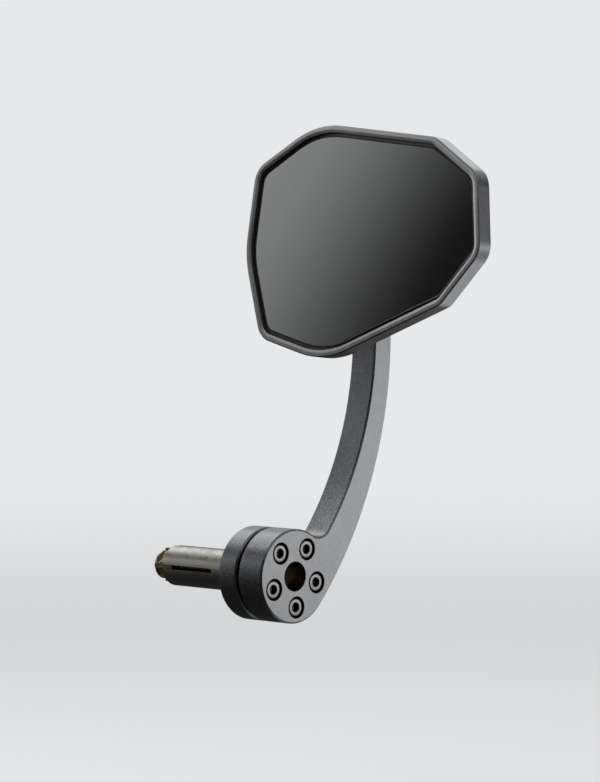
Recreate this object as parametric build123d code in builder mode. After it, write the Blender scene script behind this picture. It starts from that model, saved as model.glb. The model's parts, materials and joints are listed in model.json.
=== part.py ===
"""A motorcycle bar end mirror: expander, hub, curved arm, ball joint and mirror head.

Millimetres. The origin is on the handlebar's axis, where the hub's flange meets the
bar's end. +X points out of the bar, +Z up, and the glass looks along -Y, rearwards.
"""
from build123d import *
from math import cos, radians, sin, sqrt
import os

# Clearances
running_gap = 0.05
loose_gap = 0.1
bolt_gap = 0.2
cut_spare = 1.0

# Hub flange and its register on the sleeve and in the arm
hub_radius = 17.0
flange_thickness = 9.0
groove_radius = 14.5
groove_width = 1.4
spigot_radius = 8.0
spigot_height = 1.2
sleeve_socket_depth = 1.5
flange_web = 2.9
flange_bore_radius = 5.3
edge_chamfer = 0.6

# Arm: a blade between two arcs that grows out of the hub's disc
arm_thickness = 12.0
outer_arc_radius = 148.0
outer_arc_tangent_angle = -41.5
inner_arc_radius = 117.0
blade_waist = 8.8
blade_root_height = 10.0
blade_root_fillet = 6.0
key_bore_radius = 5.4

# Five M4 socket screws through the arm's hub into the flange
hub_screw_count = 5
hub_screw_circle_radius = 11.2
hub_screw_turn = -86.6
hub_screw_radius = 2.0
hub_screw_length = 14.0
hub_screw_head_radius = 3.5
hub_screw_head_height = 4.0
hub_screw_head_chamfer = 0.5
hub_screw_key = 3.0
hub_screw_key_depth = 2.2
hub_screw_sink = 0.4
hub_counterbore_radius = 4.0
hub_tapping_spare = 1.2

# Expander: slotted sleeve, keyed cone, M6 screw and washer
sleeve_radius = 7.5
sleeve_length = 40.5
sleeve_tail_radius = 6.8
sleeve_bore_radius = 4.0
sleeve_end_chamfer = 0.5
slot_count = 4
slot_width = 1.7
slot_length = 26.9
cone_taper = 7.0
cone_rim_radius = 5.3
cone_rim_width = 1.2
cone_reach = 6.6
cone_length = 11.6
cone_flat_distance = 4.3
key_width = 1.5
key_radius = 6.2
key_length = 9.4
expander_screw_radius = 2.95
expander_screw_length = 50.0
expander_screw_head_radius = 5.0
expander_screw_head_height = 6.0
expander_screw_head_chamfer = 0.6
expander_screw_key = 5.0
expander_screw_key_depth = 3.2
washer_radius = 5.0
washer_thickness = 1.2
screw_tip_chamfer = 0.4

# Ball joint
ball_radius = 5.5
ball_z = 118.2
ball_depth = 12.0
ball_neck_radius = 2.6
ball_flat_radius = 2.4
ball_to_arm = 10.7
liner_thickness = 0.85
liner_floor_reach = 3.6
liner_mouth_reach = 2.4
liner_slit = 1.2
socket_bore_radius = 7.9
socket_floor = 1.7
spring_height = 1.0
spring_radius = 7.6
spring_hole_radius = 5.0
spring_strip = 0.5
spring_wave_count = 3
spring_crest_width = 5.0
seat_gap_to_ring = 0.4
socket_boss_radius = 12.5
socket_boss_depth = 12.2
ring_thickness = 2.4
ring_screw_count = 3
ring_screw_circle_radius = 10.2
ring_screw_radius = 1.25
ring_screw_head_radius = 2.3
ring_screw_length = 6.0
ring_tapping_spare = 0.6
ring_screw_key = 1.5
ring_screw_key_depth = 0.8

# Stud, its bush in the arm's end, and its friction washer and nut
boss_length = 11.5
boss_proud = 1.43
boss_chamfer = 0.6
bush_wall = 1.0
bush_flange_radius = 5.2
bush_flange_thickness = 0.8
stud_radius = 3.0
collar_flats = 8.0
collar_thickness = 2.2
stud_washer_radius = 5.6
stud_washer_thickness = 1.0
disc_spring_radius = 5.4
disc_spring_thickness = 0.8
nut_flats = 10.0
nut_height = 5.0
nut_chamfer = 0.8
stud_tip = 1.2

# Mirror head outline, along its axis of symmetry from the inboard to the outboard end
head_length = 116.3
inboard_flank_width = 62.6
inboard_flank_station = 6.8
head_height = 87.3
widest_station = 39.0
outboard_flank_width = 59.4
outboard_flank_station = 19.4
outboard_end_width = 27.7
inboard_tip_radius = 34.0
inboard_corner_radius = 9.0
widest_corner_radius = 40.0
outboard_flank_radius = 8.0
outboard_corner_radius = 9.0
socket_offset = 23.5
face_tilt = 5.3
face_turn = 7.1

# Mirror housing, glass, gasket and pads
wall_depth = 5.9
rim_width = 2.5
rim_chamfer = 0.4
rim_slope_width = 1.0
rim_slope_depth = 0.3
back_rise = 3.4
back_plateau_share = 0.6
shell_wall = 1.8
pocket_share = 0.84
glass_radius = 1200.0
glass_apex_depth = 0.2
glass_thickness = 2.0
glass_chamfer = 0.35
gasket_width = 1.3
gasket_depth = 2.1
pad_thickness = 0.7

# Stations along the bar's axis
groove_x = flange_thickness
hub_back_x = groove_x + groove_width
hub_front_x = hub_back_x + arm_thickness
arm_mid_x = (hub_back_x + hub_front_x) / 2
washer_x = sleeve_socket_depth + flange_web
screw_seat_x = washer_x + washer_thickness
sleeve_end_x = -sleeve_length
cone_end_x = sleeve_end_x - cone_reach

# The arm's arcs: the outer one touches the hub's circle from inside
outer_centre_distance = outer_arc_radius - hub_radius
outer_centre_y = -outer_centre_distance * cos(radians(outer_arc_tangent_angle))
outer_centre_z = -outer_centre_distance * sin(radians(outer_arc_tangent_angle))
inner_centre_y = outer_centre_y + outer_arc_radius - blade_waist - inner_arc_radius
inner_centre_z = outer_centre_z


def arc_y(centre_y, centre_z, radius, z):
    """The Y at which an arc of the blade passes the height z."""
    return centre_y + sqrt(radius**2 - (z - centre_z) ** 2)


# The stud's stations along Y, from the blade's outer arc at the ball's height
arm_back_y = arc_y(outer_centre_y, outer_centre_z, outer_arc_radius, ball_z) + boss_proud
arm_face_y = arm_back_y - boss_length
ball_y = arm_face_y - ball_to_arm
bush_face_y = arm_face_y - bush_flange_thickness
collar_y = bush_face_y - collar_thickness
spring_seat_y = arm_back_y + stud_washer_thickness
nut_seat_y = spring_seat_y + disc_spring_thickness
liner_radius = ball_radius + liner_thickness
socket_radius = liner_radius + running_gap
stud_axis = Axis((arm_mid_x, 0, ball_z), (0, 1, 0))

# The head's frame: local X runs outboard, local Z looks out of the glass
ball_centre = Vector(arm_mid_x, ball_y, ball_z)
face_normal = Vector(0, -1, 0).rotate(Axis.X, -face_tilt)
face_run = Vector(1, 0, 0).rotate(Axis((0, 0, 0), face_normal), face_turn)
socket_frame = Plane(origin=ball_centre, x_dir=face_run, z_dir=face_normal)
socket_section = Plane(origin=ball_centre, x_dir=face_run, z_dir=face_run.cross(face_normal))
socket_axis = Axis(ball_centre, face_normal)
head_origin = socket_frame.from_local_coords((socket_offset, 0, ball_depth))
head_frame = Plane(origin=head_origin, x_dir=face_run, z_dir=face_normal)
glass_edge_inset = rim_width + gasket_width
glass_sag = glass_radius - sqrt(glass_radius**2 - (head_length / 2) ** 2)
ledge_depth = glass_apex_depth + glass_sag + glass_thickness + pad_thickness
plateau_depth = wall_depth + back_rise
socket_floor_depth = ledge_depth + socket_floor
ring_face_depth = socket_boss_depth + ring_thickness


def bar_station(x):
    """A plane across the bar's axis, with local X along Y and local Y along Z."""
    return Plane.YZ.offset(x)


def stud_station(y):
    """A plane across the stud's axis that looks away from the ball."""
    return Plane(origin=(arm_mid_x, y, ball_z), x_dir=(1, 0, 0), z_dir=(0, 1, 0))


def head_station(depth):
    """A plane behind the rim's front face, on the head's own axis."""
    return head_frame.offset(-depth)


def socket_station(depth):
    """The same plane with its origin on the socket's axis."""
    return socket_frame.offset(ball_depth - depth)


def socket_mouth(depth):
    """A plane on the socket's axis that looks out of its mouth, towards the arm."""
    mouth_origin = socket_station(depth).origin
    return Plane(origin=mouth_origin, x_dir=face_run, z_dir=-face_normal)


def head_corners():
    """The head's nine corners in its own frame, from the inboard tip round the upper side."""
    inboard_x = -head_length / 2
    outboard_x = head_length / 2
    upper = [
        (inboard_x + inboard_flank_station, inboard_flank_width / 2),
        (inboard_x + widest_station, head_height / 2),
        (outboard_x - outboard_flank_station, outboard_flank_width / 2),
        (outboard_x, outboard_end_width / 2),
    ]
    lower = [(x, -y) for x, y in reversed(upper)]
    return [(inboard_x, 0), *upper, *lower]


def head_outline(inset=0.0):
    """The head's outline with its corners rounded, drawn inside by an inset."""
    corner_radii = [
        inboard_corner_radius,
        widest_corner_radius,
        outboard_flank_radius,
        outboard_corner_radius,
    ]
    radii = [inboard_tip_radius] + corner_radii + corner_radii[::-1]
    with BuildSketch() as outline:
        with BuildLine():
            FilletPolyline(*head_corners(), radius=radii, close=True)
        make_face()
        if inset:
            offset(amount=-inset)
    return outline.sketch


def hip_outline(share):
    """The nine corners left sharp and drawn to a share about the socket's axis."""
    corners = [((x + socket_offset) * share, y * share) for x, y in head_corners()]
    with BuildSketch() as outline:
        with BuildLine():
            Polyline(*corners, close=True)
        make_face()
    return outline.sketch


def hip_share(depth):
    """The share of the walls' outline that the hipped back has at a depth."""
    return 1 - (1 - back_plateau_share) * (depth - wall_depth) / back_rise


# Expander sleeve: a slotted tube with a tapered mouth for the cone and a tail in the flange
mouth_slope = sin(radians(cone_taper)) / cos(radians(cone_taper))
cone_rim_x = cone_end_x + cone_rim_width
cone_mouth_radius = cone_rim_radius - (sleeve_end_x - cone_rim_x) * mouth_slope
mouth_radius = cone_mouth_radius + loose_gap
mouth_depth = (mouth_radius - sleeve_bore_radius) / mouth_slope
between_slots = 180 / slot_count
with BuildPart() as expander_sleeve:
    with BuildSketch(Plane.XY.rotated((between_slots, 0, 0))) as sleeve_section:
        with BuildLine():
            Polyline(
                (sleeve_end_x, mouth_radius),
                (sleeve_end_x, sleeve_radius - sleeve_end_chamfer),
                (sleeve_end_x + sleeve_end_chamfer, sleeve_radius),
                (0, sleeve_radius),
                (0, sleeve_tail_radius),
                (sleeve_socket_depth, sleeve_tail_radius),
                (sleeve_socket_depth, sleeve_bore_radius),
                (sleeve_end_x + mouth_depth, sleeve_bore_radius),
                close=True,
            )
        make_face()
    revolve(axis=Axis.X)
    with BuildSketch(bar_station(sleeve_end_x)) as slot_mouths:
        with PolarLocations(0, slot_count):
            Rectangle(sleeve_radius + cut_spare, slot_width, align=(Align.MIN, Align.CENTER))
    extrude(amount=slot_length - slot_width / 2, mode=Mode.SUBTRACT)
    slot_end_x = sleeve_end_x + slot_length - slot_width / 2
    for side in range(slot_count):
        with BuildSketch(Plane.XY.rotated((side * 360 / slot_count, 0, 0))) as slot_end:
            with Locations((slot_end_x, 0)):
                Circle(slot_width / 2)
        extrude(amount=sleeve_radius + cut_spare, mode=Mode.SUBTRACT)
expander_sleeve.part.label = "expander_sleeve"

# Expander cone: a taper nut with a full rim, four flats and four keys in the slots
cone_tip_x = cone_end_x + cone_length
cone_tip_radius = cone_rim_radius - (cone_tip_x - cone_rim_x) * mouth_slope
with BuildPart() as expander_cone:
    with BuildSketch() as cone_section:
        with BuildLine():
            Polyline(
                (cone_end_x, 0),
                (cone_end_x, cone_rim_radius - screw_tip_chamfer),
                (cone_end_x + screw_tip_chamfer, cone_rim_radius),
                (cone_rim_x, cone_rim_radius),
                (cone_tip_x, cone_tip_radius),
                (cone_tip_x, 0),
                close=True,
            )
        make_face()
    revolve(axis=Axis.X)
    with BuildSketch(bar_station(cone_rim_x)) as flat_cuts:
        with PolarLocations(cone_flat_distance, slot_count, start_angle=between_slots):
            Rectangle(cone_rim_radius, 2 * cone_rim_radius, align=(Align.MIN, Align.CENTER))
    extrude(amount=cone_length, mode=Mode.SUBTRACT)
    with BuildSketch(bar_station(cone_rim_x)) as keys:
        with PolarLocations(0, slot_count):
            Rectangle(key_radius, key_width, align=(Align.MIN, Align.CENTER))
    extrude(amount=key_length)
    with BuildSketch(bar_station(cone_end_x)) as cone_thread:
        Circle(expander_screw_radius + running_gap)
    extrude(amount=cone_length, mode=Mode.SUBTRACT)
expander_cone.part.label = "expander_cone"

# Expander screw: M6 socket screw along the bar's axis
with BuildPart() as expander_screw:
    with BuildSketch(bar_station(screw_seat_x)):
        Circle(expander_screw_head_radius)
    extrude(amount=expander_screw_head_height)
    chamfer(expander_screw.faces().sort_by(Axis.X)[-1].edges(), expander_screw_head_chamfer)
    with BuildSketch(bar_station(screw_seat_x)):
        Circle(expander_screw_radius)
    extrude(amount=-expander_screw_length)
    chamfer(expander_screw.faces().sort_by(Axis.X)[0].edges(), screw_tip_chamfer)
    with BuildSketch(bar_station(screw_seat_x + expander_screw_head_height)):
        RegularPolygon(radius=expander_screw_key / 2, side_count=6, major_radius=False)
    extrude(amount=-expander_screw_key_depth, mode=Mode.SUBTRACT)
expander_screw.part.label = "expander_screw"

# Plain washer under the expander screw's head
with BuildPart() as expander_washer:
    with BuildSketch(bar_station(washer_x)):
        Circle(washer_radius)
        Circle(expander_screw_radius + bolt_gap, mode=Mode.SUBTRACT)
    extrude(amount=washer_thickness)
expander_washer.part.label = "expander_washer"

# Hub flange: the ring against the bar's end, with a groove and a spigot for the arm
screw_seat_depth = hub_screw_sink + hub_screw_head_height
hub_screw_seat_x = hub_front_x - screw_seat_depth
hub_screw_tip_x = hub_screw_seat_x - hub_screw_length
tail_step = sleeve_radius - sleeve_tail_radius
with BuildPart() as hub_flange:
    with BuildSketch() as flange_section:
        with BuildLine():
            Polyline(
                (sleeve_socket_depth, expander_screw_radius + bolt_gap),
                (sleeve_socket_depth, sleeve_tail_radius + running_gap),
                (tail_step, sleeve_tail_radius + running_gap),
                (0, sleeve_radius + running_gap),
                (0, hub_radius - edge_chamfer),
                (edge_chamfer, hub_radius),
                (groove_x - edge_chamfer, hub_radius),
                (groove_x, hub_radius - edge_chamfer),
                (groove_x, groove_radius),
                (hub_back_x, groove_radius),
                (hub_back_x, spigot_radius),
                (hub_back_x + spigot_height, spigot_radius),
                (hub_back_x + spigot_height, flange_bore_radius),
                (washer_x, flange_bore_radius),
                (washer_x, expander_screw_radius + bolt_gap),
                close=True,
            )
        make_face()
    revolve(axis=Axis.X)
    with BuildSketch(bar_station(hub_back_x)) as tapped_holes:
        with PolarLocations(hub_screw_circle_radius, hub_screw_count, start_angle=hub_screw_turn):
            Circle(hub_screw_radius)
    extrude(amount=hub_screw_tip_x - hub_tapping_spare - hub_back_x, mode=Mode.SUBTRACT)
hub_flange.part.label = "hub_flange"

# Arm: hub disc and tapering blade in one plate, with a round boss across its upper end
blade_outer_top = (arc_y(outer_centre_y, outer_centre_z, outer_arc_radius, ball_z), ball_z)
blade_inner_top = (arc_y(inner_centre_y, inner_centre_z, inner_arc_radius, ball_z), ball_z)
blade_tangent_point = Vector(hub_radius, 0).rotate(Axis.Z, outer_arc_tangent_angle)
blade_root_y = arc_y(inner_centre_y, inner_centre_z, inner_arc_radius, blade_root_height)
blade_outer_waist = (outer_centre_y + outer_arc_radius, outer_centre_z)
blade_inner_waist = (inner_centre_y + inner_arc_radius, inner_centre_z)
boss_radius = arm_thickness / 2
with BuildPart() as arm:
    with BuildSketch(bar_station(hub_back_x)) as arm_profile:
        with BuildLine():
            ThreePointArc(blade_tangent_point, blade_outer_waist, blade_outer_top)
            Line(blade_outer_top, blade_inner_top)
            ThreePointArc(blade_inner_top, blade_inner_waist, (blade_root_y, blade_root_height))
            Line((blade_root_y, blade_root_height), blade_tangent_point)
        make_face()
        Circle(hub_radius)
        blade_root = arm_profile.vertices().sort_by_distance((blade_root_y, blade_root_height))[0]
        fillet(blade_root, blade_root_fillet)
    extrude(amount=arm_thickness)
    broad_faces = arm.faces().filter_by(Axis.X)
    chamfer(broad_faces.edges().filter_by(GeomType.CIRCLE), edge_chamfer)
    with BuildSketch(Plane.XY.offset(ball_z)) as boss_section:
        with BuildLine():
            Polyline(
                (arm_mid_x, arm_face_y),
                (arm_mid_x + boss_radius - boss_chamfer, arm_face_y),
                (arm_mid_x + boss_radius, arm_face_y + boss_chamfer),
                (arm_mid_x + boss_radius, arm_back_y - boss_chamfer),
                (arm_mid_x + boss_radius - boss_chamfer, arm_back_y),
                (arm_mid_x, arm_back_y),
                close=True,
            )
        make_face()
    revolve(axis=stud_axis)
    with Locations(stud_station(arm_back_y)):
        Hole(stud_radius + running_gap + bush_wall, depth=boss_length)
    with Locations(bar_station(hub_front_x)):
        Hole(key_bore_radius, depth=arm_thickness)
        with PolarLocations(hub_screw_circle_radius, hub_screw_count, start_angle=hub_screw_turn):
            CounterBoreHole(
                radius=hub_screw_radius + bolt_gap,
                counter_bore_radius=hub_counterbore_radius,
                counter_bore_depth=screw_seat_depth,
                depth=arm_thickness,
            )
    with BuildSketch(bar_station(hub_back_x)) as register:
        Circle(spigot_radius + running_gap)
    extrude(amount=spigot_height + bolt_gap, mode=Mode.SUBTRACT)
arm.part.label = "arm"

# Hub screws: five alike, heads just under the hub's face
with BuildPart() as hub_screws:
    with BuildSketch(bar_station(hub_screw_seat_x)) as screw_heads:
        with PolarLocations(hub_screw_circle_radius, hub_screw_count, start_angle=hub_screw_turn):
            Circle(hub_screw_head_radius)
    extrude(amount=hub_screw_head_height)
    head_tops = hub_screws.faces().group_by(Axis.X)[-1]
    chamfer(head_tops.edges(), hub_screw_head_chamfer)
    with BuildSketch(bar_station(hub_screw_seat_x)) as screw_shanks:
        with PolarLocations(hub_screw_circle_radius, hub_screw_count, start_angle=hub_screw_turn):
            Circle(hub_screw_radius)
    extrude(amount=-hub_screw_length)
    with BuildSketch(bar_station(hub_front_x - hub_screw_sink)) as screw_keys:
        with PolarLocations(hub_screw_circle_radius, hub_screw_count, start_angle=hub_screw_turn):
            RegularPolygon(radius=hub_screw_key / 2, side_count=6, major_radius=False)
    extrude(amount=-hub_screw_key_depth, mode=Mode.SUBTRACT)
hub_screws.part.label = "hub_screws"

# Ball stud: a turned ball with a flat pole, a neck and a shank, and a hexagon collar
ball_flat_y = ball_y - sqrt(ball_radius**2 - ball_flat_radius**2)
ball_neck_y = ball_y + sqrt(ball_radius**2 - ball_neck_radius**2)
stud_end_y = nut_seat_y + nut_height + stud_tip
with BuildPart() as ball_stud:
    with BuildSketch(Plane.XY.offset(ball_z)) as stud_profile:
        with BuildLine():
            ThreePointArc(
                (arm_mid_x + ball_flat_radius, ball_flat_y),
                (arm_mid_x + ball_radius, ball_y),
                (arm_mid_x + ball_neck_radius, ball_neck_y),
            )
            Polyline(
                (arm_mid_x + ball_neck_radius, ball_neck_y),
                (arm_mid_x + ball_neck_radius, collar_y),
                (arm_mid_x + stud_radius, collar_y),
                (arm_mid_x + stud_radius, stud_end_y - screw_tip_chamfer),
                (arm_mid_x + stud_radius - screw_tip_chamfer, stud_end_y),
                (arm_mid_x, stud_end_y),
                (arm_mid_x, ball_flat_y),
                (arm_mid_x + ball_flat_radius, ball_flat_y),
            )
        make_face()
    revolve(axis=stud_axis)
    with BuildSketch(stud_station(collar_y)):
        RegularPolygon(radius=collar_flats / 2, side_count=6, major_radius=False)
    extrude(amount=collar_thickness)
ball_stud.part.label = "ball_stud"

# Flanged bush in the arm's end, in which the stud can turn
with BuildPart() as stud_bush:
    with BuildSketch(stud_station(bush_face_y)):
        Circle(bush_flange_radius)
    extrude(amount=bush_flange_thickness)
    with BuildSketch(stud_station(arm_face_y)):
        Circle(stud_radius + running_gap + bush_wall)
    extrude(amount=boss_length)
    with Locations(stud_station(arm_back_y)):
        Hole(stud_radius + running_gap, depth=boss_length + bush_flange_thickness)
stud_bush.part.label = "stud_bush"

# Washer, disc spring and nut that hold the stud by friction
with BuildPart() as stud_washer:
    with BuildSketch(stud_station(arm_back_y)):
        Circle(stud_washer_radius)
        Circle(stud_radius + loose_gap, mode=Mode.SUBTRACT)
    extrude(amount=stud_washer_thickness)
stud_washer.part.label = "stud_washer"

disc_hole_radius = stud_radius + loose_gap
disc_strip = disc_spring_thickness / 2
with BuildPart() as disc_spring:
    with BuildSketch(Plane.XY.offset(ball_z)) as disc_profile:
        with BuildLine():
            Polyline(
                (arm_mid_x + disc_spring_radius, spring_seat_y),
                (arm_mid_x + disc_hole_radius, spring_seat_y + disc_strip),
                (arm_mid_x + disc_hole_radius, spring_seat_y + 2 * disc_strip),
                (arm_mid_x + disc_spring_radius, spring_seat_y + disc_strip),
                close=True,
            )
        make_face()
    revolve(axis=stud_axis)
disc_spring.part.label = "disc_spring"

with BuildPart() as stud_nut:
    with BuildSketch(stud_station(nut_seat_y)):
        RegularPolygon(radius=nut_flats / 2, side_count=6, major_radius=False)
    extrude(amount=nut_height)
    with BuildSketch(Plane.XY.offset(ball_z)) as nut_lathe:
        with BuildLine():
            Polyline(
                (arm_mid_x, nut_seat_y),
                (arm_mid_x + nut_flats / 2 + nut_chamfer, nut_seat_y),
                (arm_mid_x + nut_flats / 2 + nut_chamfer, nut_seat_y + nut_height - nut_chamfer),
                (arm_mid_x + nut_flats / 2 - nut_chamfer, nut_seat_y + nut_height),
                (arm_mid_x, nut_seat_y + nut_height),
                close=True,
            )
        make_face()
    revolve(axis=stud_axis, mode=Mode.INTERSECT)
    with Locations(stud_station(nut_seat_y + nut_height)):
        Hole(stud_radius + running_gap, depth=nut_height)
stud_nut.part.label = "stud_nut"

# Ball liner: a split plastic shell that slides on the ball and in the socket
with BuildPart() as ball_liner:
    with BuildSketch(socket_section) as liner_profile:
        Circle(liner_radius)
        Circle(ball_radius + running_gap, mode=Mode.SUBTRACT)
        with Locations((0, (liner_floor_reach - liner_mouth_reach) / 2)):
            Rectangle(2 * liner_radius, liner_floor_reach + liner_mouth_reach, mode=Mode.INTERSECT)
        Rectangle(
            liner_radius,
            2 * liner_radius,
            align=(Align.MIN, Align.CENTER),
            mode=Mode.INTERSECT,
        )
    revolve(axis=socket_axis)
    with BuildSketch(socket_frame) as slit:
        Rectangle(liner_radius + cut_spare, liner_slit, align=(Align.MIN, Align.CENTER))
    extrude(amount=liner_radius, both=True, mode=Mode.SUBTRACT)
ball_liner.part.label = "ball_liner"

# Ball seat: the loose ring in the socket's bore that a wave spring presses on the liner
seat_floor_depth = socket_floor_depth + spring_height
with BuildPart() as ball_seat:
    with BuildSketch(socket_station(socket_boss_depth - seat_gap_to_ring)) as seat_disc:
        Circle(socket_bore_radius - running_gap)
    extrude(amount=socket_boss_depth - seat_gap_to_ring - seat_floor_depth)
    with Locations(socket_frame):
        Sphere(socket_radius, mode=Mode.SUBTRACT)
ball_seat.part.label = "ball_seat"

# Wave spring: a thin ring on the socket's floor with raised crests under the seat
with BuildPart() as seat_spring:
    with BuildSketch(socket_station(socket_floor_depth + spring_strip)) as spring_ring:
        Circle(spring_radius)
        Circle(spring_hole_radius, mode=Mode.SUBTRACT)
    extrude(amount=spring_strip)
    with BuildSketch(socket_station(seat_floor_depth)) as crests:
        with PolarLocations(0, spring_wave_count):
            Rectangle(spring_radius, spring_crest_width, align=(Align.MIN, Align.CENTER))
        Circle(spring_radius - running_gap, mode=Mode.INTERSECT)
        Circle(spring_hole_radius + running_gap, mode=Mode.SUBTRACT)
    extrude(amount=spring_height - spring_strip)
seat_spring.part.label = "seat_spring"

# Mirror housing: a shallow nine-sided tray with a hipped back and the socket's boss
with BuildPart() as mirror_housing:
    with BuildSketch(head_station(0)):
        add(head_outline())
    extrude(amount=-plateau_depth)
    front_rim = mirror_housing.faces().sort_by(socket_axis)[-1]
    chamfer(front_rim.edges(), rim_chamfer)
    with BuildSketch(socket_station(-cut_spare)) as hip_foot:
        add(hip_outline(hip_share(-cut_spare)))
    with BuildSketch(socket_station(plateau_depth)) as hip_top:
        add(hip_outline(back_plateau_share))
    loft(ruled=True, mode=Mode.INTERSECT)
    with BuildSketch(head_station(0)) as recess:
        add(head_outline(rim_width))
    extrude(amount=-ledge_depth, mode=Mode.SUBTRACT)
    front_rim = mirror_housing.faces().sort_by(socket_axis)[-1]
    inner_edges = front_rim.inner_wires()[0].edges()
    chamfer(inner_edges, rim_slope_width, rim_slope_depth, reference=front_rim)
    with BuildSketch(socket_station(ledge_depth)) as pocket_mouth:
        add(hip_outline(pocket_share))
    with BuildSketch(socket_station(plateau_depth - shell_wall)) as pocket_floor:
        add(hip_outline(back_plateau_share))
    loft(ruled=True, mode=Mode.SUBTRACT)
    with BuildSketch(socket_station(socket_boss_depth)) as socket_boss:
        Circle(socket_boss_radius)
    extrude(amount=socket_boss_depth - ledge_depth)
    with BuildSketch(socket_station(socket_boss_depth)) as socket_bore:
        Circle(socket_bore_radius)
    extrude(amount=socket_boss_depth - socket_floor_depth, mode=Mode.SUBTRACT)
    with BuildSketch(socket_station(socket_boss_depth)) as ring_threads:
        with PolarLocations(ring_screw_circle_radius, ring_screw_count, start_angle=90):
            Circle(ring_screw_radius)
    extrude(amount=ring_screw_length - ring_thickness + ring_tapping_spare, mode=Mode.SUBTRACT)
mirror_housing.part.label = "mirror_housing"

# Retainer ring: closes the socket behind the ball's widest part
with BuildPart() as retainer_ring:
    with BuildSketch(socket_station(socket_boss_depth)):
        Circle(socket_boss_radius)
    extrude(amount=-ring_thickness)
    chamfer(retainer_ring.faces().sort_by(socket_axis)[0].edges(), edge_chamfer)
    with Locations(socket_frame):
        Sphere(socket_radius, mode=Mode.SUBTRACT)
    with Locations(socket_mouth(ring_face_depth)):
        with PolarLocations(ring_screw_circle_radius, ring_screw_count, start_angle=-90):
            CounterSinkHole(
                radius=ring_screw_radius,
                counter_sink_radius=ring_screw_head_radius,
                depth=ring_thickness,
                counter_sink_angle=90,
            )
retainer_ring.part.label = "retainer_ring"

# Countersunk screws of the retainer ring
with BuildPart() as retainer_screws:
    with Locations(socket_station(ring_face_depth)):
        with PolarLocations(ring_screw_circle_radius, ring_screw_count, start_angle=90):
            Cylinder(ring_screw_radius, ring_screw_length, align=(Align.CENTER, Align.CENTER, Align.MIN))
            Cone(
                ring_screw_head_radius,
                ring_screw_radius,
                ring_screw_head_radius - ring_screw_radius,
                align=(Align.CENTER, Align.CENTER, Align.MIN),
            )
    with BuildSketch(socket_station(ring_face_depth)):
        with PolarLocations(ring_screw_circle_radius, ring_screw_count, start_angle=90):
            RegularPolygon(radius=ring_screw_key / 2, side_count=6, major_radius=False)
    extrude(amount=ring_screw_key_depth, mode=Mode.SUBTRACT)
retainer_screws.part.label = "retainer_screws"

# Mirror glass: convex, with a ground bevel round its front edge
glass_centre = head_frame.from_local_coords((0, 0, -glass_apex_depth - glass_radius))
glass_back_radius = glass_radius - glass_thickness
with BuildPart() as mirror_glass:
    with BuildSketch(head_station(ledge_depth)):
        add(head_outline(glass_edge_inset))
    extrude(amount=ledge_depth)
    with Locations(glass_centre):
        Sphere(glass_radius, mode=Mode.INTERSECT)
        Sphere(glass_back_radius, mode=Mode.SUBTRACT)
    glass_front = mirror_glass.faces().sort_by(socket_axis)[-1]
    chamfer(glass_front.edges(), glass_chamfer)
mirror_glass.part.label = "mirror_glass"

# Glass gasket: the black band between the rim and the glass
with BuildPart() as glass_gasket:
    with BuildSketch(head_station(ledge_depth)):
        add(head_outline(rim_width + running_gap))
        add(head_outline(glass_edge_inset - running_gap), mode=Mode.SUBTRACT)
    extrude(amount=ledge_depth - gasket_depth)
glass_gasket.part.label = "glass_gasket"

# Glass pads: an adhesive frame on the ledge and a disc on the socket's boss
with BuildPart() as glass_pads:
    with BuildSketch(head_station(ledge_depth)) as pad_frame:
        add(head_outline(glass_edge_inset))
    extrude(amount=ledge_depth)
    with BuildSketch(socket_station(ledge_depth)) as pad_opening:
        add(hip_outline(pocket_share))
        Circle(socket_boss_radius, mode=Mode.SUBTRACT)
    extrude(amount=ledge_depth, mode=Mode.SUBTRACT)
    with Locations(glass_centre):
        Sphere(glass_back_radius, mode=Mode.INTERSECT)
glass_pads.part.label = "glass_pads"

os.makedirs("parts", exist_ok=True)
export_step(expander_sleeve.part, "parts/expander_sleeve.step")
export_step(expander_cone.part, "parts/expander_cone.step")
export_step(expander_screw.part, "parts/expander_screw.step")
export_step(expander_washer.part, "parts/expander_washer.step")
export_step(hub_flange.part, "parts/hub_flange.step")
export_step(hub_screws.part, "parts/hub_screws.step")
export_step(arm.part, "parts/arm.step")
export_step(stud_bush.part, "parts/stud_bush.step")
export_step(ball_stud.part, "parts/ball_stud.step")
export_step(stud_washer.part, "parts/stud_washer.step")
export_step(disc_spring.part, "parts/disc_spring.step")
export_step(stud_nut.part, "parts/stud_nut.step")
export_step(ball_liner.part, "parts/ball_liner.step")
export_step(ball_seat.part, "parts/ball_seat.step")
export_step(seat_spring.part, "parts/seat_spring.step")
export_step(retainer_ring.part, "parts/retainer_ring.step")
export_step(retainer_screws.part, "parts/retainer_screws.step")
export_step(mirror_housing.part, "parts/mirror_housing.step")
export_step(mirror_glass.part, "parts/mirror_glass.step")
export_step(glass_gasket.part, "parts/glass_gasket.step")
export_step(glass_pads.part, "parts/glass_pads.step")
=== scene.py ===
"""A motorcycle bar end mirror: its finishes, screw threads, studio and camera, in metres."""

import json
from math import atan2, cos, degrees, pi, radians, sin, sqrt, tau

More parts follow.
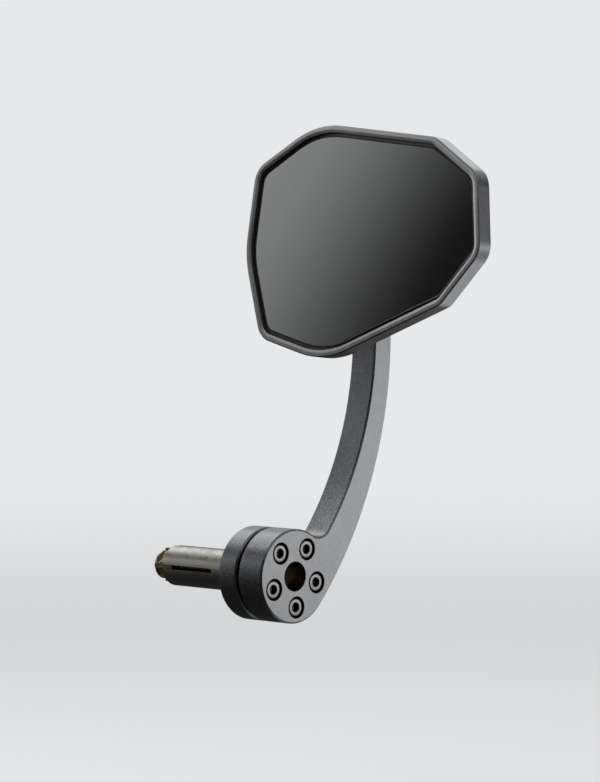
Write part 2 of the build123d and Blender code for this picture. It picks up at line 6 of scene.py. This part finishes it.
import bmesh
import bpy
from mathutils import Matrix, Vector


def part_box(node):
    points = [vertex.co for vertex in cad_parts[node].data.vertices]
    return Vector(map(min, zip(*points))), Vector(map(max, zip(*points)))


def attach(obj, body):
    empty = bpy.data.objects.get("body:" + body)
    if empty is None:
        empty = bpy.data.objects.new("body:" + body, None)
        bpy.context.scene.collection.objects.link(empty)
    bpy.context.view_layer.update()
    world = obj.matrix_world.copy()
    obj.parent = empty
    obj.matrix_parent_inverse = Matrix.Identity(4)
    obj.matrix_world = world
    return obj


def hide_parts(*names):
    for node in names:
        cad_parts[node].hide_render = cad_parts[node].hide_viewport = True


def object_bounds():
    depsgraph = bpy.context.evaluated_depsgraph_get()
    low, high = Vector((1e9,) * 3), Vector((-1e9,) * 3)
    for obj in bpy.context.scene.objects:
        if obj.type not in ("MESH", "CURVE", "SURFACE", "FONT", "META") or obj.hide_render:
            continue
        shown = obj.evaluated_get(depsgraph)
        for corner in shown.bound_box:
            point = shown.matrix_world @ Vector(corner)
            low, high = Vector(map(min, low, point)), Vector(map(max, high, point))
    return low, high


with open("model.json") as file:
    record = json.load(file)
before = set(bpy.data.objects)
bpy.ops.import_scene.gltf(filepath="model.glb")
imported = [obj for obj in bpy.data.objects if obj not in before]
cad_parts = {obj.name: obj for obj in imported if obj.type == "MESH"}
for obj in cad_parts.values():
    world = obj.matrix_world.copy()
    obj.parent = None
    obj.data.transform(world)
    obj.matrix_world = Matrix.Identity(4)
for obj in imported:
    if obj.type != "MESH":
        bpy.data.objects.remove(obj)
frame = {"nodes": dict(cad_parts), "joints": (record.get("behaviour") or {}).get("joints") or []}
cad_low, cad_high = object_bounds()

# One millimetre in the frame's metres
mm = 0.001

# Camera: the photograph's frame and viewing angle, with the hub's front centre on its pixel
frame_width = 600
frame_height = 782
sensor = 36.0
focal_pixels = 3300.0
camera_azimuth = radians(45.45)
camera_elevation = radians(2.2)
hub_pixel = (295.15, 576.5)
hub_depth = 1.1828

# Places read from the frame: the floor lies below everything that the arm can swing through
bar_centre = Vector((0.0, 0.0, 0.0))
hub_front = Vector((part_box("arm")[1].x, 0.0, 0.0))
middle = (cad_low + cad_high) / 2
head_low, head_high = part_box("mirror_housing")
head_middle = (head_low + head_high) / 2
swing_radius = sqrt(cad_high.y ** 2 + cad_high.z ** 2)
floor_gap = 6.0 * mm
floor_z = -swing_radius - floor_gap

# Grain of the finishes: a scale is a number of cells, clouds or rings to a metre
dimple_scale = 4300.0
dimple_strength = 0.28
dimple_depth = 0.05 * mm
blasted_cloud_scale = 140.0
blasted_cloud_detail = 4.0
blasted_cloud_share = 0.3
blasted_tone_low = 0.2
blasted_tone_high = 0.8
blasted_gloss_change = 0.07
blasted_edge = 0.18 * mm
ring_scale = 5200.0
ring_strength = 0.10
turned_cloud_scale = 220.0
turned_gloss_change = 0.06
plated_cloud_scale = 300.0
plated_grain_scale = 900.0
plated_strength = 0.12
plated_gloss_change = 0.05
fine_detail = 1.0
grain_detail = 2.0
cloud_detail = 3.0
fine_depth = 0.02 * mm
fine_edge = 0.1 * mm
edge_samples = 4

# Painted highlight on the cap screws' faces square to the bar's axis: where a face's normal begins to
# count as square, where it is, and the least share of the highlight that its random speckle leaves
square_from = 0.93
square_full = 0.995
speckle_least = 0.8

# The glass: slow clouds in its tint, a polished back and a thin clear front
tint_scale = 12.0
tint_dark = (0.236, 0.241, 0.236)
tint_light = (0.246, 0.251, 0.246)
glass_roughness = 0.04
front_weight = 0.3
front_roughness = 0.02


def new_material(name):
    """A node material with its tree and its Principled shader."""
    material = bpy.data.materials.new(name)
    material.use_nodes = True
    tree = material.node_tree
    return material, tree, tree.nodes["Principled BSDF"]


def object_place(tree):
    """Object coordinates, which are the frame's metres on every piece."""
    return tree.nodes.new("ShaderNodeTexCoord").outputs["Object"]


def noise(tree, place, scale, detail):
    """A cloudy value, by its clouds to a metre and its layers of detail."""
    node = tree.nodes.new("ShaderNodeTexNoise")
    node.inputs["Scale"].default_value = scale
    node.inputs["Detail"].default_value = detail
    tree.links.new(place, node.inputs["Vector"])
    return node.outputs["Fac"]


def cells(tree, place, scale):
    """Small cells, one per blasted dimple: the distance to each middle, and a random value for each."""
    node = tree.nodes.new("ShaderNodeTexVoronoi")
    node.inputs["Scale"].default_value = scale
    tree.links.new(place, node.inputs["Vector"])
    return node.outputs["Distance"], node.outputs["Color"]


def spread(tree, value, low, high, from_low=0.35, from_high=0.65):
    """The value stretched to run from low to high. Cloudy noise mostly lies between 0.35 and 0.65."""
    node = tree.nodes.new("ShaderNodeMapRange")
    node.inputs["From Min"].default_value = from_low
    node.inputs["From Max"].default_value = from_high
    node.inputs["To Min"].default_value = low
    node.inputs["To Max"].default_value = high
    tree.links.new(value, node.inputs["Value"])
    return node.outputs["Result"]


def mixed(tree, factor, first, second):
    """One of two colours, or a blend of them, by a factor from 0 to 1."""
    node = tree.nodes.new("ShaderNodeMix")
    node.data_type = "RGBA"
    node.inputs["A"].default_value = (*first, 1.0)
    node.inputs["B"].default_value = (*second, 1.0)
    tree.links.new(factor, node.inputs["Factor"])
    return node.outputs["Result"]


def soft_edges(tree, radius):
    """A normal that rounds sharp edges over, so that they catch the light."""
    node = tree.nodes.new("ShaderNodeBevel")
    node.samples = edge_samples
    node.inputs["Radius"].default_value = radius
    return node.outputs["Normal"]


def bumped(tree, height, strength, depth, normal):
    """A normal with a fine relief on it."""
    node = tree.nodes.new("ShaderNodeBump")
    node.inputs["Strength"].default_value = strength
    node.inputs["Distance"].default_value = depth
    tree.links.new(height, node.inputs["Height"])
    tree.links.new(normal, node.inputs["Normal"])
    return node.outputs["Normal"]


def shade(value):
    """A neutral colour."""
    return (value, value, value)


def blasted(name, dark, light, roughness):
    """Bead-blasted, anodised aluminium: a fine dimpled grain that sparkles."""
    material, tree, shader = new_material(name)
    place = object_place(tree)
    dimples, sparkle = cells(tree, place, dimple_scale)
    clouds = noise(tree, place, blasted_cloud_scale, blasted_cloud_detail)
    grain = tree.nodes.new("ShaderNodeMix")
    grain.inputs["Factor"].default_value = blasted_cloud_share
    tree.links.new(sparkle, grain.inputs["A"])
    tree.links.new(clouds, grain.inputs["B"])
    tone = spread(tree, grain.outputs["Result"], 0.0, 1.0, blasted_tone_low, blasted_tone_high)
    tree.links.new(mixed(tree, tone, dark, light), shader.inputs["Base Color"])
    smooth = roughness - blasted_gloss_change
    rough = roughness + blasted_gloss_change
    tree.links.new(spread(tree, sparkle, smooth, rough, 0.0, 1.0), shader.inputs["Roughness"])
    relief = bumped(tree, dimples, dimple_strength, dimple_depth, soft_edges(tree, blasted_edge))
    tree.links.new(relief, shader.inputs["Normal"])
    shader.inputs["Metallic"].default_value = 1.0
    return material


def turned(name, dark, light, roughness):
    """Satin metal turned about the bar's axis: fine rings, and a faint cloudy tone."""
    material, tree, shader = new_material(name)
    place = object_place(tree)
    along = tree.nodes.new("ShaderNodeSeparateXYZ")
    tree.links.new(place, along.inputs["Vector"])
    rings = tree.nodes.new("ShaderNodeTexNoise")
    rings.noise_dimensions = "1D"
    rings.inputs["Scale"].default_value = ring_scale
    rings.inputs["Detail"].default_value = fine_detail
    tree.links.new(along.outputs["X"], rings.inputs["W"])
    clouds = noise(tree, place, turned_cloud_scale, cloud_detail)
    tree.links.new(mixed(tree, spread(tree, clouds, 0.0, 1.0), dark, light), shader.inputs["Base Color"])
    smooth = roughness - turned_gloss_change
    rough = roughness + turned_gloss_change
    tree.links.new(spread(tree, clouds, rough, smooth), shader.inputs["Roughness"])
    relief = bumped(tree, rings.outputs["Fac"], ring_strength, fine_depth, soft_edges(tree, fine_edge))
    tree.links.new(relief, shader.inputs["Normal"])
    shader.inputs["Metallic"].default_value = 1.0
    return material


def plated(name, dark, light, roughness, metallic=1.0, grain_scale=plated_grain_scale):
    """Plain metal, rubber or foam with a slight change of tone and a very fine grain."""
    material, tree, shader = new_material(name)
    place = object_place(tree)
    clouds = noise(tree, place, plated_cloud_scale, cloud_detail)
    grain = noise(tree, place, grain_scale, grain_detail)
    tree.links.new(mixed(tree, spread(tree, clouds, 0.0, 1.0), dark, light), shader.inputs["Base Color"])
    smooth = roughness - plated_gloss_change
    rough = roughness + plated_gloss_change
    tree.links.new(spread(tree, grain, smooth, rough), shader.inputs["Roughness"])
    relief = bumped(tree, grain, plated_strength, fine_depth, soft_edges(tree, fine_edge))
    tree.links.new(relief, shader.inputs["Normal"])
    shader.inputs["Metallic"].default_value = metallic
    return material


def painted_highlight_steel(name, dark, highlight_tone, roughness):
    """Blackened steel for a cap screw, with a painted highlight: its colour is bright where a face is
    square to the bar's axis, standing in for the light on the heads' tops.
    """
    material, tree, shader = new_material(name)
    place = tree.nodes.new("ShaderNodeTexCoord")
    facing = tree.nodes.new("ShaderNodeSeparateXYZ")
    tree.links.new(place.outputs["Normal"], facing.inputs["Vector"])
    speckle = noise(tree, place.outputs["Object"], plated_grain_scale, cloud_detail)
    # Painted highlight: the mask of faces square to the bar's axis, dimmed a little at random by the
    # speckle
    painted_highlight = tree.nodes.new("ShaderNodeMath")
    painted_highlight.operation = "MULTIPLY"
    square = spread(tree, facing.outputs["X"], 0.0, 1.0, square_from, square_full)
    tree.links.new(square, painted_highlight.inputs[0])
    tree.links.new(spread(tree, speckle, speckle_least, 1.0), painted_highlight.inputs[1])
    tree.links.new(mixed(tree, painted_highlight.outputs["Value"], dark, highlight_tone), shader.inputs["Base Color"])
    smooth = roughness - plated_gloss_change
    rough = roughness + plated_gloss_change
    tree.links.new(spread(tree, speckle, smooth, rough), shader.inputs["Roughness"])
    shader.inputs["Metallic"].default_value = 1.0
    return material


def tinted_glass(name):
    """Dark tinted mirror glass: a chromed back under a clear, polished front."""
    material, tree, shader = new_material(name)
    clouds = noise(tree, object_place(tree), tint_scale, fine_detail)
    tree.links.new(mixed(tree, clouds, tint_dark, tint_light), shader.inputs["Base Color"])
    shader.inputs["Metallic"].default_value = 1.0
    shader.inputs["Roughness"].default_value = glass_roughness
    shader.inputs["Coat Weight"].default_value = front_weight
    shader.inputs["Coat Roughness"].default_value = front_roughness
    return material


# Finishes: the two tones that the grain runs between, and the roughness
anodised_black = blasted("anodised_black", (0.100, 0.102, 0.105), (0.160, 0.163, 0.168), 0.30)
# The head: the same black anodising, rougher, with tones lighter than the arm's that are painted light to
# brighten the head
anodised_head = blasted("anodised_head", (0.120, 0.122, 0.125), (0.195, 0.198, 0.203), 0.42)
silver_alloy = turned("silver_alloy", (0.215, 0.211, 0.194), (0.255, 0.249, 0.230), 0.30)
cone_brass = turned("cone_brass", (0.17, 0.148, 0.098), (0.25, 0.218, 0.150), 0.27)
yellow_zinc = plated("yellow_zinc", (0.46, 0.34, 0.16), (0.58, 0.45, 0.24), 0.28)
screw_steel = plated("screw_steel", (0.20, 0.198, 0.190), (0.25, 0.248, 0.238), 0.24)
# Cap screws: blackened steel whose bright tone is a painted highlight on the faces square to the bar's
# axis
cap_steel = painted_highlight_steel("cap_steel", (0.030, 0.030, 0.031), (0.135, 0.133, 0.126), 0.26)
spring_steel = plated("spring_steel", (0.30, 0.30, 0.31), (0.40, 0.40, 0.41), 0.35)
stud_steel = plated("stud_steel", shade(0.46), shade(0.54), 0.20)
bronze = plated("bronze", (0.40, 0.27, 0.14), (0.50, 0.35, 0.20), 0.40)
black_rubber = plated("black_rubber", shade(0.010), shade(0.016), 0.62, metallic=0.0, grain_scale=1800.0)
pad_foam = plated("pad_foam", shade(0.030), shade(0.055), 0.85, metallic=0.0, grain_scale=1200.0)
mirror_tint = tinted_glass("mirror_tint")

finishes = {
    "arm": anodised_black,
    "hub_flange": anodised_black,
    "mirror_housing": anodised_head,
    "retainer_ring": anodised_black,
    "expander_sleeve": silver_alloy,
    "expander_cone": cone_brass,
    "expander_screw": yellow_zinc,
    "expander_washer": screw_steel,
    "hub_screws": screw_steel,
    "retainer_screws": screw_steel,
    "stud_nut": screw_steel,
    "stud_washer": screw_steel,
    "disc_spring": spring_steel,
    "seat_spring": spring_steel,
    "ball_stud": stud_steel,
    "stud_bush": bronze,
    "ball_liner": bronze,
    "ball_seat": stud_steel,
    "mirror_glass": mirror_tint,
    "glass_gasket": black_rubber,
    "glass_pads": pad_foam,
}
for node, finish in finishes.items():
    for material_slot in frame["nodes"][node].material_slots:
        material_slot.material = finish

# Turned forms: columns round each one, and the angle at which shading breaks at an edge
screw_columns = 72
sharp_angle = radians(32)
quarter = 90
point_reach = 0.02 * mm

# M6 threads: the root and the flank are shares of half a pitch, and the thread ends before the tip
rows_per_turn = 10
thread_pitch = 1.0 * mm
thread_depth = 0.58 * mm
thread_root = 0.25
thread_flank = 0.625
thread_end = 0.5 * mm
thread_tip = 0.7 * mm


def hexagon(flats):
    """The reach of a hexagon at an angle, by its width across flats."""
    return lambda angle: flats / 2 / cos((angle + pi / 6) % (pi / 3) - pi / 6)


def thread(station, crest, depth):
    """The reach of a screw thread at an angle, where the station cuts its helix."""
    def reach(angle):
        share = abs(2 * ((station / thread_pitch - angle / tau) % 1) - 1)
        return crest - depth * (1 - min(1.0, max(0.0, (share - thread_root) / thread_flank)))
    return reach


def thread_rows(first, last, crest):
    """Close rows along a thread, which deepens over its first turn from a plain shank."""
    steps = round(abs(last - first) / thread_pitch * rows_per_turn)
    rows = []
    for step in range(1, steps + 1):
        station = first + (last - first) * step / steps
        run_in = min(1.0, abs(station - first) / thread_pitch)
        rows.append((station, thread(station, crest, thread_depth * run_in)))
    return rows


def arc_rows(centre, middle_reach, radius, start, end, steps):
    """Rows round an arc of a section, from one angle to another, in degrees from the axis."""
    rows = []
    for step in range(steps + 1):
        angle = radians(start + (end - start) * step / steps)
        rows.append((centre + radius * cos(angle), middle_reach + radius * sin(angle)))
    return rows


def turned_piece(builder, rows, place):
    """Adds a closed turned form: rows of a station on the axis and the reach there, fixed or by angle."""
    rings = []
    for station, reach in rows:
        ring = []
        for step in range(screw_columns):
            angle = tau * step / screw_columns
            size = reach(angle) if callable(reach) else reach
            ring.append(builder.verts.new(place(station, size, angle)))
        rings.append(ring)
    for lower, upper in zip(rings, rings[1:]):
        for step in range(screw_columns):
            beside = (step + 1) % screw_columns
            builder.faces.new((lower[step], lower[beside], upper[beside], upper[step]))
    builder.faces.new(rings[0])
    builder.faces.new(rings[-1])


def finished_piece(name, builder, finish, body, node):
    """The mesh as a piece that rides on a body and stands for a node."""
    bmesh.ops.recalc_face_normals(builder, faces=builder.faces)
    mesh = bpy.data.meshes.new(name)
    builder.to_mesh(mesh)
    builder.free()
    mesh.shade_smooth()
    mesh.set_sharp_from_angle(angle=sharp_angle)
    mesh.materials.append(finish)
    piece = bpy.data.objects.new(name, mesh)
    bpy.context.scene.collection.objects.link(piece)
    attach(piece, body)
    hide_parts(node)


def along_bar(centre_y, centre_z):
    """Places a turned form on an axis along the bar."""
    def place(station, reach, angle):
        return (station, centre_y + reach * cos(angle), centre_z + reach * sin(angle))
    return place


def along_stud(centre_x, centre_z):
    """Places a turned form on an axis across the arm's end."""
    def place(station, reach, angle):
        return (centre_x + reach * sin(angle), station, centre_z + reach * cos(angle))
    return place


# Five M4 cap screws in the hub, with rounded heads and countersunk hexagon sockets
screw_low, screw_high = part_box("hub_screws")
hub_screws = bmesh.new()
head_top = screw_high.x
head_radius = 3.5 * mm
head_height = 4.0 * mm
head_edge = 0.8 * mm
head_edge_steps = 8
shank_radius = 2.0 * mm
tip_chamfer = 0.4 * mm
socket_flats = 3.0 * mm
socket_depth = 2.2 * mm
socket_chamfer = 0.12 * mm
countersink_radius = 1.88 * mm
countersink_depth = 0.25 * mm
drill_depth = 0.8 * mm
seat = head_top - head_height
head_round = arc_rows(
    head_top - head_edge,
    head_radius - head_edge,
    head_edge,
    0,
    quarter,
    head_edge_steps,
)
screw_rows = [
    (screw_low.x, shank_radius - tip_chamfer),
    (screw_low.x + tip_chamfer, shank_radius),
    (seat, shank_radius),
    (seat, head_radius),
    *reversed(head_round),
    (head_top, countersink_radius),
    (head_top - countersink_depth, hexagon(socket_flats)),
    (head_top - socket_depth, hexagon(socket_flats)),
    (head_top - socket_depth, socket_flats / 2 - socket_chamfer),
    (head_top - socket_depth - drill_depth, point_reach),
]
screw_circle = 11.2 * mm
screw_count = 5
first_screw = radians(-86.6)
for number in range(screw_count):
    turn = first_screw + tau * number / screw_count
    screw_axis = along_bar(screw_circle * cos(turn), screw_circle * sin(turn))
    turned_piece(hub_screws, screw_rows, screw_axis)
finished_piece("cap_screws", hub_screws, cap_steel, "arm", "hub_screws")

# The expander's long screw, threaded where the cone runs on it
long_low, long_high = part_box("expander_screw")
long_screw = bmesh.new()
long_shank = 2.95 * mm
long_head = 5.0 * mm
long_head_height = 6.0 * mm
long_edge = 0.6 * mm
long_edge_steps = 6
long_key = 5.0 * mm
long_key_depth = 3.2 * mm
long_key_end = long_high.x - long_key_depth
long_drill_depth = 2 * drill_depth
long_seat = long_high.x - long_head_height
long_thread = 26.0 * mm
thread_start = long_low.x + long_thread
long_rows = [
    (long_key_end - long_drill_depth, point_reach),
    (long_key_end, long_key / 2 - socket_chamfer),
    (long_key_end, hexagon(long_key)),
    (long_high.x - socket_chamfer, hexagon(long_key)),
    (long_high.x, hexagon(long_key + 2 * socket_chamfer)),
    *arc_rows(long_high.x - long_edge, long_head - long_edge, long_edge, 0, quarter, long_edge_steps),
    (long_seat, long_head),
    (long_seat, long_shank),
    (thread_start, long_shank),
    *thread_rows(thread_start, long_low.x + thread_end, long_shank),
    (long_low.x, long_shank - thread_tip),
]
turned_piece(long_screw, long_rows, along_bar(bar_centre.y, bar_centre.z))
finished_piece("long_screw", long_screw, yellow_zinc, "screw", "expander_screw")

# The ball stud: a ball with a flat pole, a filleted neck, a hexagon collar and a threaded end
stud_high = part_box("ball_stud")[1]
bush_low, bush_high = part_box("stud_bush")
ball_stud = bmesh.new()
ball = next(joint["pos_m"] for joint in frame["joints"] if joint["name"] == "head_roll")
ball_radius = 5.5 * mm
ball_steps = 32
pole_radius = 2.4 * mm
neck_radius = 2.6 * mm
neck_fillet = 0.7 * mm
stud_radius = 3.0 * mm
collar_flats = 8.0 * mm
collar_bevel = 0.3 * mm
collar_height = 2.2 * mm
collar_high = bush_low.y
collar_low = collar_high - collar_height
pole_angle = degrees(atan2(pole_radius, -sqrt(ball_radius ** 2 - pole_radius ** 2)))
neck_angle = degrees(atan2(neck_radius, sqrt(ball_radius ** 2 - neck_radius ** 2)))
stud_rows = [
    *arc_rows(ball[1], 0.0, ball_radius, pole_angle, neck_angle, ball_steps),
    (collar_low - neck_fillet, neck_radius),
    (collar_low - neck_fillet / 3, neck_radius + neck_fillet / 3),
    (collar_low, neck_radius + neck_fillet),
    (collar_low, collar_flats / 2 - collar_bevel),
    (collar_low + collar_bevel, hexagon(collar_flats)),
    (collar_high - collar_bevel, hexagon(collar_flats)),
    (collar_high, collar_flats / 2 - collar_bevel),
    (collar_high, stud_radius),
    (bush_high.y, stud_radius),
    *thread_rows(bush_high.y, stud_high.y - thread_end, stud_radius),
    (stud_high.y, stud_radius - thread_tip),
]
turned_piece(ball_stud, stud_rows, along_stud(ball[0], ball[2]))
finished_piece("ball_and_stud", ball_stud, stud_steel, "stud", "ball_stud")


def direction(turn, rise):
    """A unit vector by its turn from +X and its rise above the horizon, in degrees."""
    flat = cos(radians(rise))
    return Vector((flat * cos(radians(turn)), flat * sin(radians(turn)), sin(radians(rise))))


def area_lamp(name, position, target, width, height, radiance):
    """A soft box that looks at a point and isn't seen by the camera."""
    lamp = bpy.data.lights.new(name, "AREA")
    lamp.shape = "RECTANGLE"
    lamp.size = width
    lamp.size_y = height
    lamp.energy = radiance * pi * width * height
    holder = bpy.data.objects.new(name, lamp)
    bpy.context.scene.collection.objects.link(holder)
    holder.location = position
    holder.rotation_euler = (target - position).to_track_quat("-Z", "Y").to_euler()
    holder.visible_camera = False


def flat_card(name, position, size):
    """A level square that belongs to the stage."""
    half = size / 2
    corners = [(-half, -half, 0), (half, -half, 0), (half, half, 0), (-half, half, 0)]
    mesh = bpy.data.meshes.new(name)
    mesh.from_pydata(corners, [], [(0, 1, 2, 3)])
    card = bpy.data.objects.new(name, mesh)
    bpy.context.scene.collection.objects.link(card)
    card.location = position
    return card


def seen_ray(tree):
    """1 for rays that show the background: camera, glossy and transmission rays."""
    path = tree.nodes.new("ShaderNodeLightPath")
    straight = tree.nodes.new("ShaderNodeMath")
    straight.operation = "MAXIMUM"
    tree.links.new(path.outputs["Is Camera Ray"], straight.inputs[0])
    tree.links.new(path.outputs["Is Glossy Ray"], straight.inputs[1])
    through = tree.nodes.new("ShaderNodeMath")
    through.operation = "MAXIMUM"
    tree.links.new(straight.outputs["Value"], through.inputs[0])
    tree.links.new(path.outputs["Is Transmission Ray"], through.inputs[1])
    return through.outputs["Value"]


# World: a pale backdrop, and a dimmer fill for the object
backdrop = (0.80, 0.81, 0.82)
fill_strength = 0.85
world = bpy.data.worlds.new("studio")
bpy.context.scene.world = world
world.use_nodes = True
world_tree = world.node_tree
world_shader = world_tree.nodes["Background"]
world_shader.inputs["Color"].default_value = (*backdrop, 1.0)
world_strength = spread(world_tree, seen_ray(world_tree), fill_strength, 1.0, 0.0, 1.0)
world_tree.links.new(world_strength, world_shader.inputs["Strength"])

# Floor: matt and pale round the object, melting into the backdrop further out
floor_size = 12.0
floor_near = 0.3
floor_far = 3.2
floor_paper = (0.78, 0.79, 0.80)
floor_roughness = 0.9
floor = flat_card("floor", (middle.x, middle.y, floor_z), floor_size)
floor_material, floor_tree, floor_shader = new_material("floor_paper")
floor_shader.inputs["Base Color"].default_value = (*floor_paper, 1.0)
floor_shader.inputs["Roughness"].default_value = floor_roughness
glow = floor_tree.nodes.new("ShaderNodeEmission")
glow.inputs["Color"].default_value = (*backdrop, 1.0)
distance = floor_tree.nodes.new("ShaderNodeVectorMath")
distance.operation = "LENGTH"
floor_tree.links.new(object_place(floor_tree), distance.inputs[0])
melt = floor_tree.nodes.new("ShaderNodeMapRange")
melt.interpolation_type = "SMOOTHSTEP"
melt.inputs["From Min"].default_value = floor_near
melt.inputs["From Max"].default_value = floor_far
floor_tree.links.new(distance.outputs["Value"], melt.inputs["Value"])
blend = floor_tree.nodes.new("ShaderNodeMixShader")
floor_tree.links.new(melt.outputs["Result"], blend.inputs["Fac"])
floor_tree.links.new(floor_shader.outputs["BSDF"], blend.inputs[1])
floor_tree.links.new(glow.outputs["Emission"], blend.inputs[2])
floor_tree.links.new(blend.outputs["Shader"], floor_tree.nodes["Material Output"].inputs["Surface"])
floor.data.materials.append(floor_material)

# Lamps: the point each looks at, its distance, turn and rise from there, its width, height and radiance
lamps = {
    "right_box": (hub_front, 1.15, 44, -1.5, 0.8, 0.28, 2.7),
    "top_box": (bar_centre, 1.1, 168, 43, 0.7, 0.5, 1.6),
    "left_box": (head_middle, 1.2, 195, 3, 0.5, 0.45, 3.0),
    "rim_strip": (head_middle, 0.25, 224, 30, 0.20, 0.05, 6.0),
    "back_top_box": (head_middle, 1.2, 116, 32, 0.5, 0.4, 2.6),
    "back_low_box": (head_middle, 0.34, 80, -46, 0.20, 0.14, 1.8),
}
for lamp_name, (target, lamp_distance, turn, rise, width, height, radiance) in lamps.items():
    position = target + lamp_distance * direction(turn, rise)
    area_lamp(lamp_name, position, target, width, height, radiance)

# Flags: dark cloths on a round rail about the head, with faded edges, and one that lies on the floor
flag_radius = 0.6
flag_rows = 36
flag_least = 0.02
flag_right = 345
flag_fade = 25.0
flag_lift = 1.0 * mm
flag_base = floor_z + flag_lift

# The left flag, in degrees of turn from +X and metres of height: its left end slants and fades on a curve
left_flag_start = 170
left_flag_top = 0.60
left_flag_top_fade = 0.12
left_flag_slant = 53.0
left_flag_slant_height = 0.2
left_flag_dark_turn = 238.0
left_flag_curve = 1.4
left_flag_upper_turn = 215.0
left_flag_upper_low = 0.36
left_flag_upper_fade = 0.06

# The lying flag, from near the head's axis out to the rail
lying_flag_start = 80
lying_flag_dark_turn = 108.0
lying_flag_inner = 0.02

# The band flags: the middle turn, half the turn, and the heights of the lower and upper edges
band_fade = 10.0
band_soft = 0.05
flag_bands = {
    "upper_flag": (50, 32, 0.13, 0.50),
    "rear_flag": (153, 48, -0.23, 0.14),
    "high_flag": (203, 26, 0.33, 0.70),
}

# The flags' cloth, clear where its own attribute says so
flag_tone = 0.01
flag_material, flag_tree, flag_shader = new_material("flag_cloth")
flag_shader.inputs["Base Color"].default_value = (*shade(flag_tone), 1.0)
flag_shader.inputs["Roughness"].default_value = 1.0
clear = flag_tree.nodes.new("ShaderNodeAttribute")
clear.attribute_name = "clear"
gap = flag_tree.nodes.new("ShaderNodeBsdfTransparent")
weave = flag_tree.nodes.new("ShaderNodeMixShader")
flag_tree.links.new(clear.outputs["Fac"], weave.inputs["Fac"])
flag_tree.links.new(flag_shader.outputs["BSDF"], weave.inputs[1])
flag_tree.links.new(gap.outputs["BSDF"], weave.inputs[2])
flag_tree.links.new(weave.outputs["Shader"], flag_tree.nodes["Material Output"].inputs["Surface"])


def eased(value):
    """0 to 1 as a smooth step."""
    value = min(1.0, max(0.0, value))
    return value * value * (3 - 2 * value)


def left_clearness(turn, height):
    """The left flag: clear at its left end, save for its upper part, and at its top and right edges."""
    slanted = turn - left_flag_slant * (height - left_flag_slant_height)
    left = eased((left_flag_dark_turn - slanted) / flag_fade) ** left_flag_curve
    beside = eased((left_flag_upper_turn - turn) / flag_fade)
    below = eased((left_flag_upper_low - height) / left_flag_upper_fade)
    right = eased((turn - flag_right + flag_fade) / flag_fade)
    top = eased((height - left_flag_top + left_flag_top_fade) / left_flag_top_fade)
    return max(flag_least, min(left, max(beside, below)), right, top)


def lying_clearness(turn, _):
    """The lying flag: clear at both of its ends."""
    left = eased((lying_flag_dark_turn - turn) / flag_fade)
    right = eased((turn - flag_right + flag_fade) / flag_fade)
    return max(flag_least, left, right)


def band_clearness(centre, half, low_edge, high_edge):
    """A flag that is clear at all of its edges."""
    def clearness(turn, height):
        sides = eased((abs(turn - centre) - half + band_fade) / band_fade)
        below = eased((low_edge + band_soft - height) / band_soft)
        above = eased((height - high_edge + band_soft) / band_soft)
        return max(flag_least, sides, below, above)
    return clearness


def standing(low_edge, high_edge):
    """A flag's profile up the rail, as even steps of (reach, height)."""
    rise = high_edge - low_edge
    return [(flag_radius, low_edge + rise * step / flag_rows) for step in range(flag_rows + 1)]


def rail_flag(name, turns, profile, clearness):
    """Dark cloth swept about the head's upright axis along a profile. Only reflections show it."""
    corners = []
    faces = []
    values = []
    for reach, height in profile:
        for turn in turns:
            across = head_middle.x + reach * cos(radians(turn))
            along = head_middle.y + reach * sin(radians(turn))
            corners.append((across, along, height))
            values.append(clearness(turn, height))
    columns = len(turns)
    for row in range(len(profile) - 1):
        for column in range(columns - 1):
            first = row * columns + column
            faces.append((first, first + 1, first + 1 + columns, first + columns))
    mesh = bpy.data.meshes.new(name)
    mesh.from_pydata(corners, [], faces)
    mesh.attributes.new("clear", "FLOAT", "POINT").data.foreach_set("value", values)
    mesh.materials.append(flag_material)
    cloth = bpy.data.objects.new(name, mesh)
    bpy.context.scene.collection.objects.link(cloth)
    cloth.visible_camera = False
    cloth.visible_diffuse = False
    cloth.visible_shadow = False


left_flag_turns = range(left_flag_start, flag_right + 1)
lying_flag_turns = range(lying_flag_start, flag_right + 1)
lying = [(lying_flag_inner, flag_base), (flag_radius, flag_base)]
rail_flag("left_flag", left_flag_turns, standing(flag_base, left_flag_top), left_clearness)
rail_flag("lying_flag", lying_flag_turns, lying, lying_clearness)
for flag_name, (centre, half, low_edge, high_edge) in flag_bands.items():
    band_turns = range(centre - half, centre + half + 1)
    clearness = band_clearness(centre, half, low_edge, high_edge)
    rail_flag(flag_name, band_turns, standing(low_edge, high_edge), clearness)

# Camera
towards = Vector((
    sin(camera_azimuth) * cos(camera_elevation),
    -cos(camera_azimuth) * cos(camera_elevation),
    sin(camera_elevation),
))
right = Vector((cos(camera_azimuth), sin(camera_azimuth), 0.0))
up = towards.cross(right)
offset_x = (hub_pixel[0] - frame_width / 2) / focal_pixels * hub_depth
offset_y = (frame_height / 2 - hub_pixel[1]) / focal_pixels * hub_depth
camera_data = bpy.data.cameras.new("camera")
camera_data.sensor_width = sensor
camera_data.lens = focal_pixels / frame_height * sensor
camera = bpy.data.objects.new("camera", camera_data)
bpy.context.scene.collection.objects.link(camera)
camera.location = hub_front - right * offset_x - up * offset_y + towards * hub_depth
camera.rotation_euler = (-towards).to_track_quat("-Z", "Y").to_euler()
bpy.context.scene.camera = camera

bpy.context.scene.view_settings.view_transform = "Standard"
